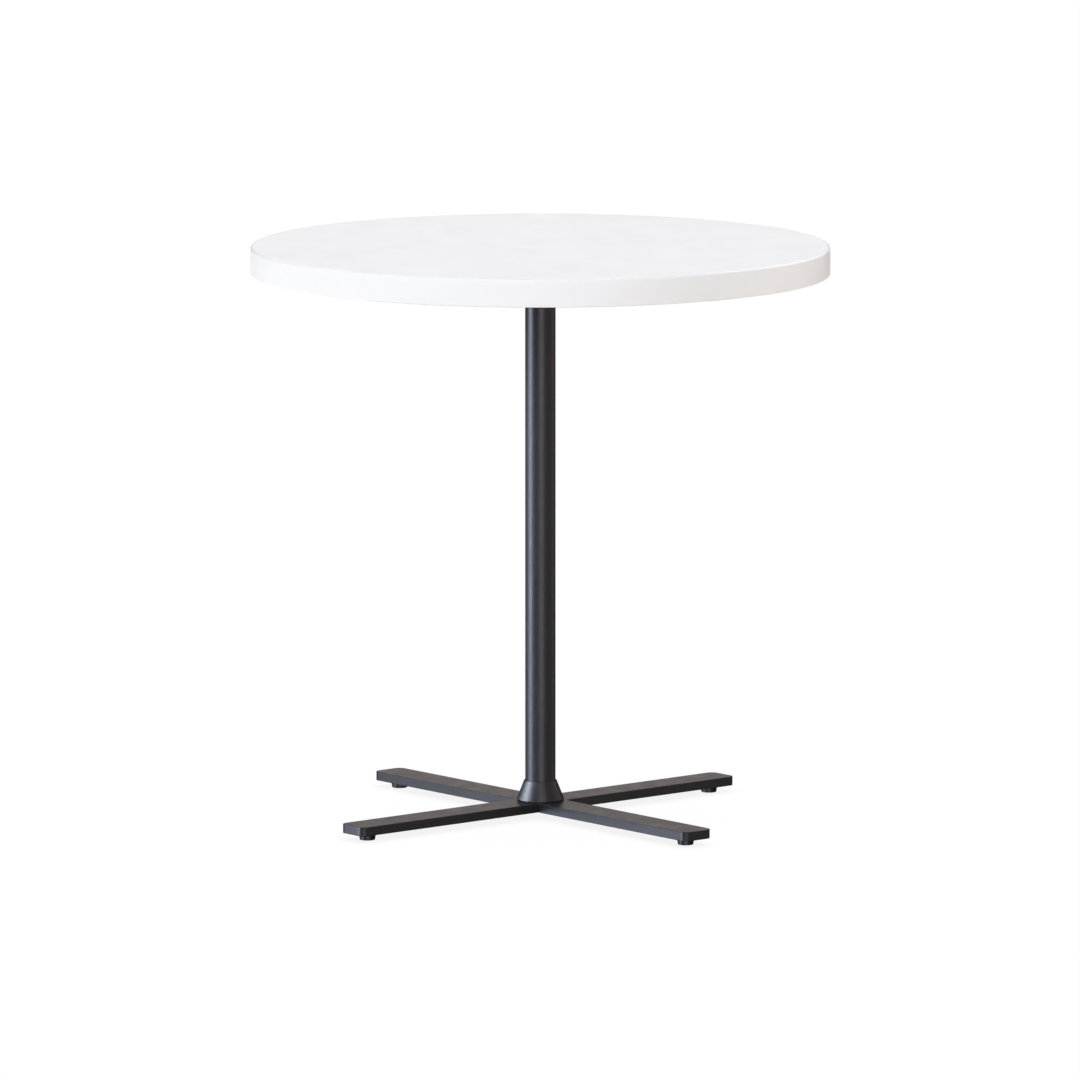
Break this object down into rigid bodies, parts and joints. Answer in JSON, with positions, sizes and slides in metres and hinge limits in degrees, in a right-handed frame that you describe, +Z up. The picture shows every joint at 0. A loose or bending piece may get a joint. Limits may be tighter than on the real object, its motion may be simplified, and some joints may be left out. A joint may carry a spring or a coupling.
{
  "type": "bistro table",
  "caption": "Round pedestal table with a laminated top, a round steel column with a conical collar, and a flat-bar cross base on levelling glides.",
  "frame": {"origin": "on the floor, under the middle of the top, at the level of the glides' lower faces", "axes": "+Z up along the column; the base bars lie along X and Y"},
  "size_m": [0.76, 0.76, 0.757],
  "materials": {
    "top_laminate": "white laminate, fine satin texture",
    "edging": "white plastic edging, satin",
    "backer": "plain balancing laminate, matte",
    "board": "raw particle board",
    "powder_coat": "black powder coat, fine orange peel, satin",
    "zinc_steel": "zinc plated",
    "glide_plastic": "black moulded polyamide"
  },
  "bodies": {
    "table": {"top_laminate": "top_laminate", "edge_band": "edging", "top_backer": "backer", "top_core": "board", "spider_bar_upper": "powder_coat", "spider_bar_lower": "powder_coat", "column_tube": "powder_coat", "collar": "powder_coat", "base_bar_upper": "powder_coat", "base_bar_lower": "powder_coat", "spider_boss": "zinc_steel", "foot_plug": "zinc_steel", "tie_rod": "zinc_steel", "tie_nut": "zinc_steel", "spider_screw_1": "zinc_steel", "spider_screw_2": "zinc_steel", "spider_screw_3": "zinc_steel", "spider_screw_4": "zinc_steel", "spider_screw_5": "zinc_steel", "spider_screw_6": "zinc_steel", "spider_screw_7": "zinc_steel", "spider_screw_8": "zinc_steel"},
    "right_pad": {"right_glide_pad": "glide_plastic"},
    "right_stud": {"right_glide_stud": "zinc_steel"},
    "back_pad": {"back_glide_pad": "glide_plastic"},
    "back_stud": {"back_glide_stud": "zinc_steel"},
    "left_pad": {"left_glide_pad": "glide_plastic"},
    "left_stud": {"left_glide_stud": "zinc_steel"},
    "front_pad": {"front_glide_pad": "glide_plastic"},
    "front_stud": {"front_glide_stud": "zinc_steel"}
  },
  "joints": [
    {"name": "right_glide_travel", "type": "slide", "parent": "table", "child": "right_pad", "axis": [0, 0, -1], "range_m": [0, 0.005]},
    {"name": "right_glide_turn", "type": "hinge", "parent": "right_pad", "child": "right_stud", "pos_m": [0.294, 0, 0.009], "axis": [0, 0, -1], "range_deg": [0, 1440]},
    {"name": "back_glide_travel", "type": "slide", "parent": "table", "child": "back_pad", "axis": [0, 0, -1], "range_m": [0, 0.005]},
    {"name": "back_glide_turn", "type": "hinge", "parent": "back_pad", "child": "back_stud", "pos_m": [0, 0.294, 0.009], "axis": [0, 0, -1], "range_deg": [0, 1440]},
    {"name": "left_glide_travel", "type": "slide", "parent": "table", "child": "left_pad", "axis": [0, 0, -1], "range_m": [0, 0.005]},
    {"name": "left_glide_turn", "type": "hinge", "parent": "left_pad", "child": "left_stud", "pos_m": [-0.294, 0, 0.009], "axis": [0, 0, -1], "range_deg": [0, 1440]},
    {"name": "front_glide_travel", "type": "slide", "parent": "table", "child": "front_pad", "axis": [0, 0, -1], "range_m": [0, 0.005]},
    {"name": "front_glide_turn", "type": "hinge", "parent": "front_pad", "child": "front_stud", "pos_m": [0, -0.294, 0.009], "axis": [0, 0, -1], "range_deg": [0, 1440]}
  ],
  "couplings": [
    {"joint": "right_glide_travel", "follows": "right_glide_turn", "m_per_rad": 0.00019894},
    {"joint": "back_glide_travel", "follows": "back_glide_turn", "m_per_rad": 0.00019894},
    {"joint": "left_glide_travel", "follows": "left_glide_turn", "m_per_rad": 0.00019894},
    {"joint": "front_glide_travel", "follows": "front_glide_turn", "m_per_rad": 0.00019894}
  ]
}
